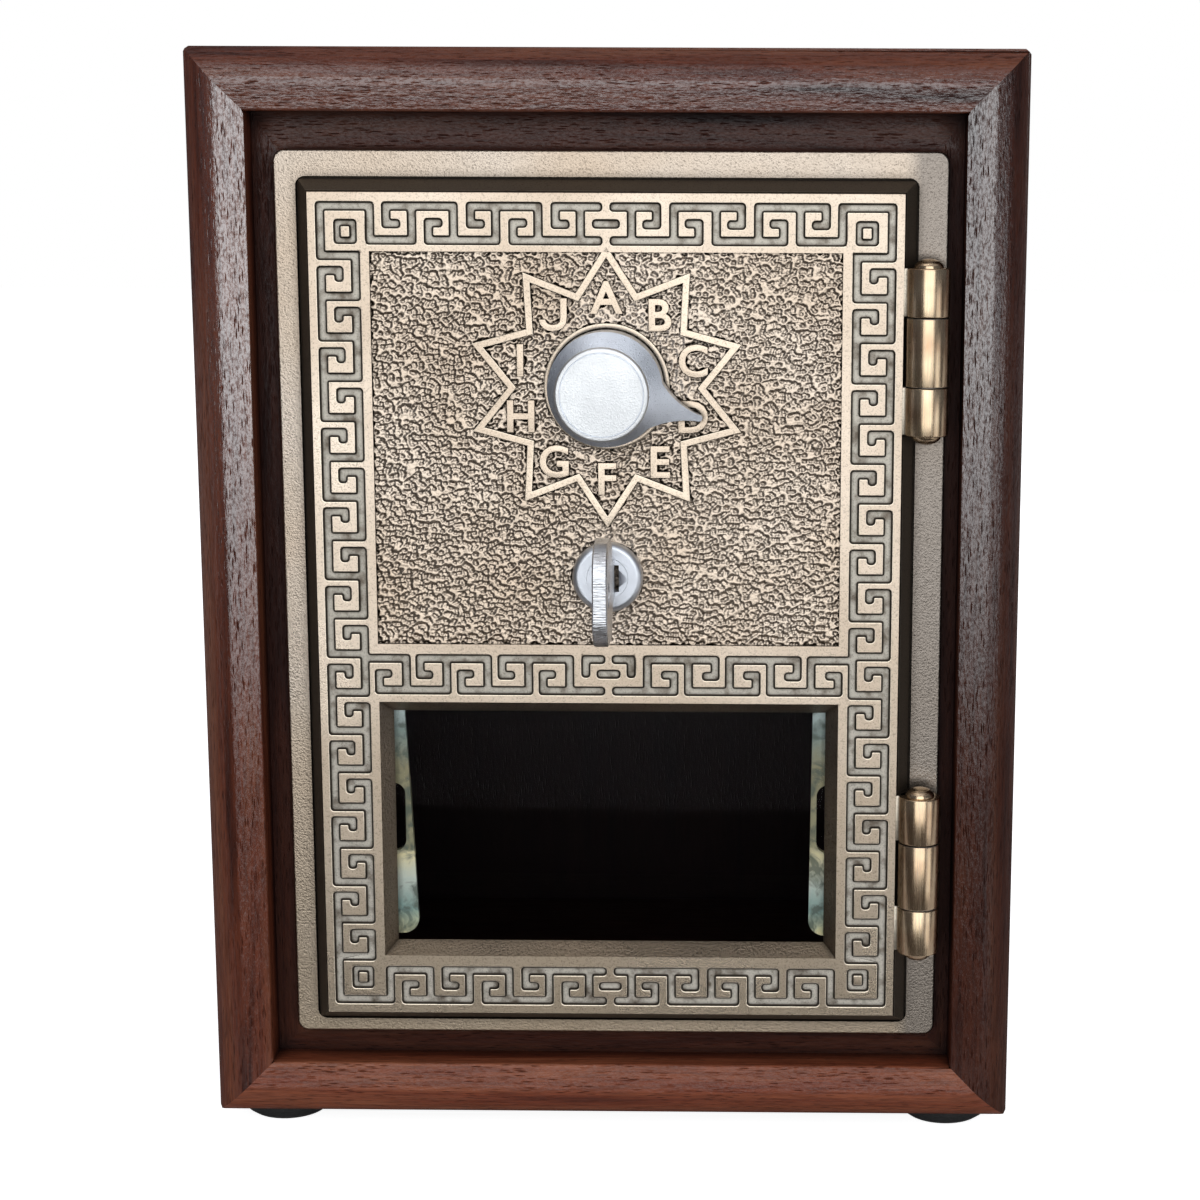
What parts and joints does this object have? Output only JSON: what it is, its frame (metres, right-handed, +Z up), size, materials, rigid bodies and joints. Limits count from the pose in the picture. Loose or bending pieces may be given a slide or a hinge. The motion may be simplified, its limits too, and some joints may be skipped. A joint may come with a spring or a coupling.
{
  "type": "letter box door set in a wooden case",
  "caption": "Cast brass letter-box door with a lettered dial, key lock and window, hinged in a brass frame that is set in a mitred walnut case on rubber feet.",
  "frame": {"origin": "on the surface that the feet stand on, under the middle of the whole object, with the key in its lock", "axes": "+Z up, the front with the door looks along -Y, +X to the right as seen from the front"},
  "size_m": [0.154, 0.1376, 0.2078],
  "materials": {
    "walnut": "oiled dark walnut, satin on the moulding",
    "back_board": "plain dark stained board",
    "foot_rubber": "black domed rubber",
    "cast_brass_frame": "grainy cast brass, antique",
    "cast_brass_door": "antique cast brass with dark recesses",
    "polished_brass": "polished brass",
    "window_glass": "clear glass",
    "tarnished_brass": "tarnished brass with green bloom",
    "screw_brass": "plain brass screws",
    "satin_chrome": "satin chrome",
    "lock_nickel": "satin nickel",
    "key_nickel": "stamped nickel silver",
    "lock_steel": "plain steel",
    "lock_brass": "dull sheet brass"
  },
  "bodies": {
    "case": {"back_panel": "back_board", "back_screws": "screw_brass", "case_bottom": "walnut", "case_left": "walnut", "case_right": "walnut", "case_top": "walnut", "door_frame": "cast_brass_frame", "foot_back_left": "foot_rubber", "foot_back_right": "foot_rubber", "foot_front_left": "foot_rubber", "foot_front_right": "foot_rubber", "frame_screws": "screw_brass", "inner_frame_bottom": "walnut", "inner_frame_left": "walnut", "inner_frame_right": "walnut", "inner_frame_top": "walnut"},
    "door": {"door_leaf": "cast_brass_door", "hinge_pin_upper": "polished_brass", "hinge_pin_lower": "polished_brass", "window_glass": "window_glass", "glass_clip_left": "tarnished_brass", "glass_clip_right": "tarnished_brass", "clip_screws": "screw_brass", "lock_case": "lock_brass", "lock_cover": "lock_brass", "lock_screws": "screw_brass", "lever_stud": "lock_steel", "lever_spring": "lock_steel", "lock_cylinder": "lock_nickel", "cylinder_nut": "lock_steel"},
    "dial": {"dial_knob": "satin_chrome", "dial_spindle": "lock_steel", "drive_wheel": "lock_brass", "middle_wheel": "lock_brass", "rear_wheel": "lock_brass", "wheel_spacers": "lock_brass", "spindle_nut": "lock_steel"},
    "plug": {"lock_plug": "lock_nickel", "lock_cam": "lock_steel"},
    "bolt": {"latch_bolt": "lock_steel"},
    "lever": {"fence_lever": "lock_steel"},
    "key": {"key": "key_nickel"}
  },
  "joints": [
    {"name": "door_swing", "type": "hinge", "parent": "case", "child": "door", "pos_m": [0.0588, -0.04445, 0.1049], "axis": [0, 0, 1], "range_deg": [0, 150]},
    {"name": "dial_turn", "type": "hinge", "parent": "door", "child": "dial", "pos_m": [0, -0.0444, 0.1467], "axis": [0, 1, 0], "continuous": true},
    {"name": "key_turn", "type": "hinge", "parent": "door", "child": "plug", "pos_m": [0, -0.0444, 0.1112], "axis": [0, -1, 0], "range_deg": [0, 90]},
    {"name": "bolt_slide", "type": "slide", "parent": "door", "child": "bolt", "axis": [-1, 0, 0], "range_m": [0, 0.0057]},
    {"name": "key_pull", "type": "slide", "parent": "plug", "child": "key", "axis": [0, -1, 0], "range_m": [0, 0.03]},
    {"name": "fence_lift", "type": "hinge", "parent": "door", "child": "lever", "pos_m": [0.017, -0.0293, 0.1243], "axis": [0, 1, 0], "range_deg": [0, 5]}
  ],
  "couplings": [
    {"joint": "key_turn", "follows": "bolt_slide", "rad_per_m": 275.58}
  ]
}
